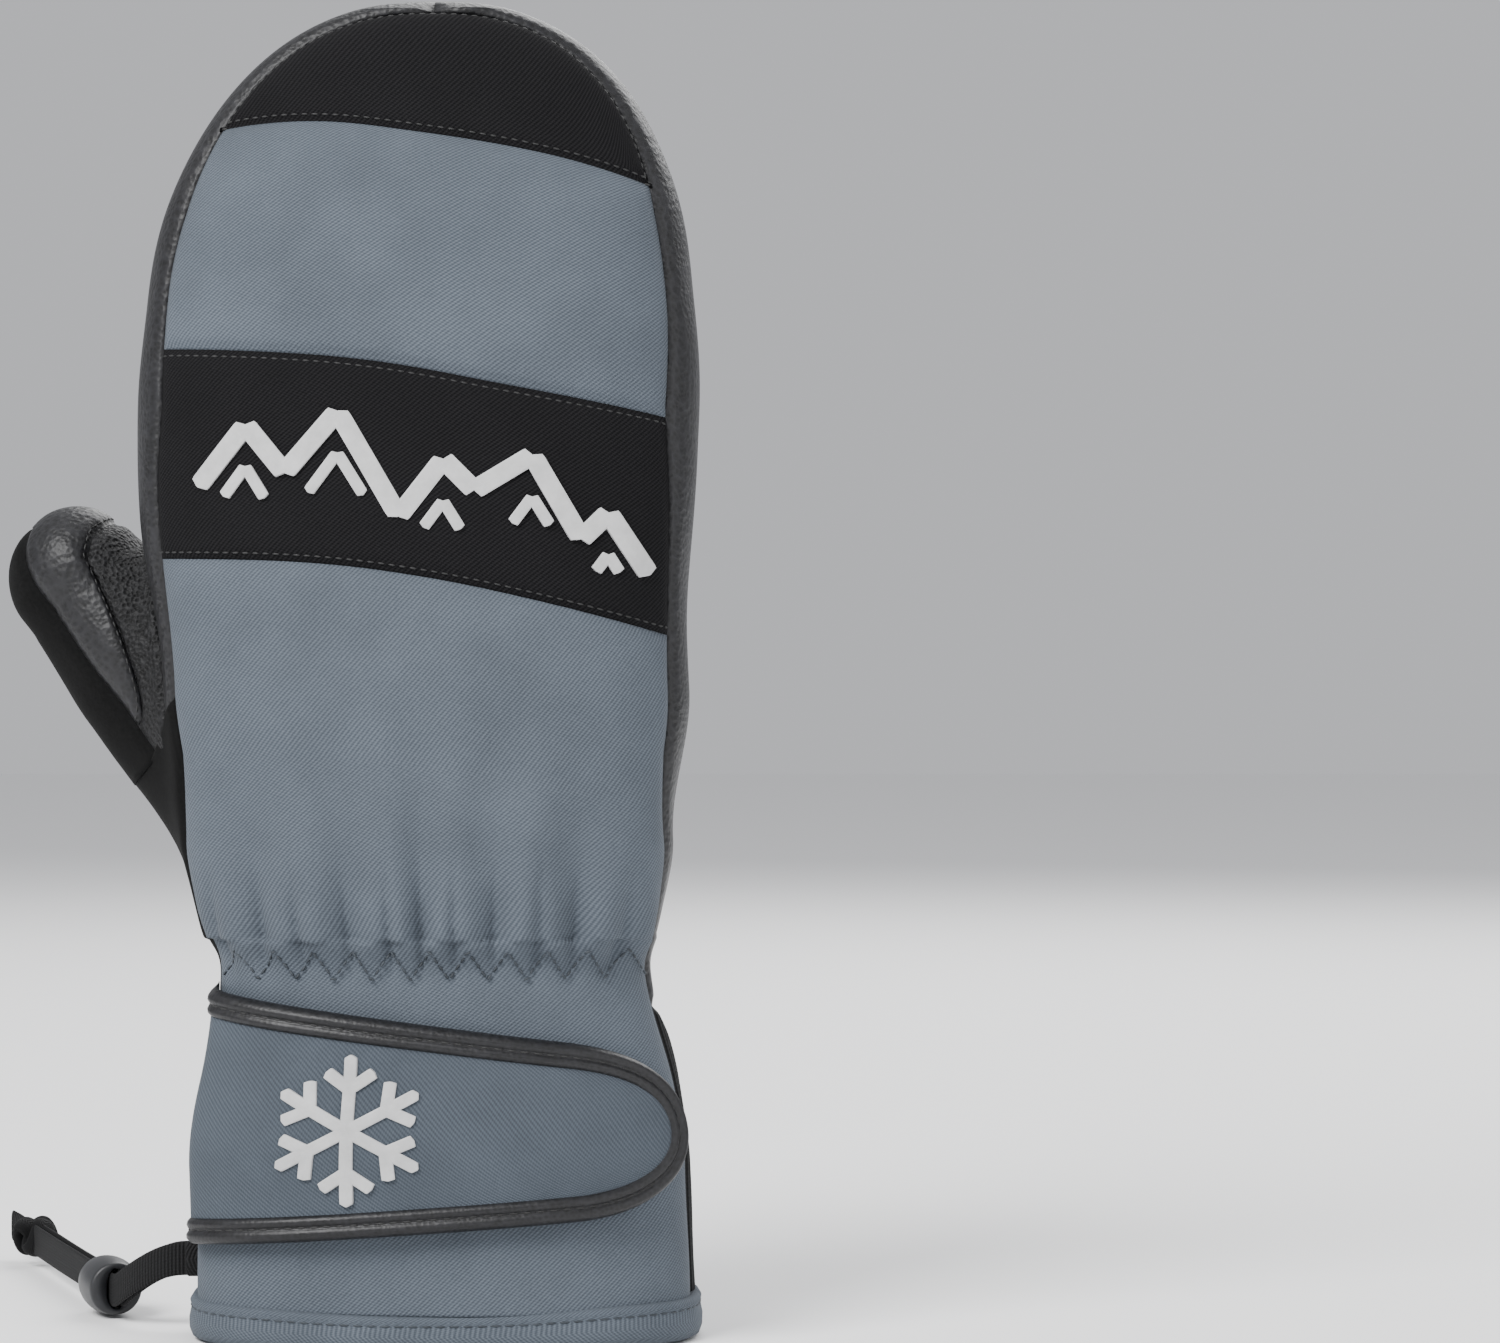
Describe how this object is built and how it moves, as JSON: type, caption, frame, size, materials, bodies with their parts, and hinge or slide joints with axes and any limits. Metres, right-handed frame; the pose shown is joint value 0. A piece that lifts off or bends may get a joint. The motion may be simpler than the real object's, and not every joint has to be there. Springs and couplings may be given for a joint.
{
  "type": "ski mitten",
  "caption": "Insulated ski mitten for the right hand with twill back, leather palm, separate thumb, wrist strap, hanging clip and cord leash.",
  "frame": {"origin": "under the middle of the mitten's own box, on the surface that the cuff stands on", "axes": "+Z from the cuff to the fingertips, -Y out of the back of the hand, -X towards the thumb"},
  "size_m": [0.1814, 0.1801, 0.3105],
  "materials": {
    "blue_twill": "woven diagonal twill, matt",
    "black_twill": "woven diagonal twill, matt",
    "leather": "fine-grained, satin",
    "pebbled_leather": "pebbled grip grain, satin",
    "softshell": "smooth knit face, matt",
    "rib_knit": "fine vertical ribs, matt",
    "binding": "faux leather tape, satin",
    "webbing": "ribbed woven tape, matt",
    "light_print": "raised rubbery print",
    "clip_plastic": "moulded, satin",
    "lock_plastic": "moulded, satin",
    "fleece": "brushed fleece",
    "wadding": "polyester wadding",
    "elastic": "flat woven elastic",
    "hook_and_loop": "hook and loop tape",
    "strand": "ribbed woven tape, matt"
  },
  "bodies": {
    "hand": {"back_tip_panel": "black_twill", "back_upper_panel": "blue_twill", "back_band_panel": "black_twill", "back_lower_panel": "blue_twill", "side_wall_outer": "leather", "side_wall_thumb": "leather", "palm_panel": "leather", "crotch_patch": "pebbled_leather", "thumb_root_panel": "leather", "softshell_gusset": "softshell", "cuff_palm_panel": "rib_knit", "hem_binding": "blue_twill", "wrist_elastic": "elastic", "hand_insulation": "wadding", "lining_back": "fleece", "lining_palm": "fleece", "loop_pad": "hook_and_loop", "band_print": "light_print", "leash_strand_upper": "strand", "leash_strand_lower": "strand", "leash_tab": "webbing", "leash_knot": "webbing", "label_tape": "webbing", "label_print": "light_print"},
    "thumb": {"thumb_palm_panel": "leather", "thumb_tip_panel": "leather", "thumb_softshell": "softshell", "thumb_patch": "pebbled_leather", "thumb_insulation": "wadding", "thumb_lining": "fleece"},
    "strap": {"strap_binding": "binding", "strap_face": "blue_twill", "strap_backing": "softshell", "hook_pad": "hook_and_loop", "strap_emblem": "light_print"},
    "clip": {"mitten_clip": "clip_plastic"},
    "lock": {"cord_lock": "lock_plastic"}
  },
  "joints": [
    {"name": "thumb_flex", "type": "hinge", "parent": "hand", "child": "thumb", "pos_m": [-0.02433, 0.01554, 0.13], "axis": [-0.72, 0, -0.694], "range_deg": [0, 25]},
    {"name": "strap_peel", "type": "hinge", "parent": "hand", "child": "strap", "pos_m": [-0.03833, -0.00346, 0.05], "axis": [0, 0, -1], "range_deg": [0, 150]},
    {"name": "clip_swing", "type": "hinge", "parent": "hand", "child": "clip", "pos_m": [0.02199, 0.03163, 0.06834], "axis": [-0.9542, -0.0266, 0.2979], "range_deg": [0, 120]},
    {"name": "lock_slide", "type": "slide", "parent": "hand", "child": "lock", "axis": [-0.3201, 0.9474, 0], "range_m": [-0.001, 0.08]}
  ]
}
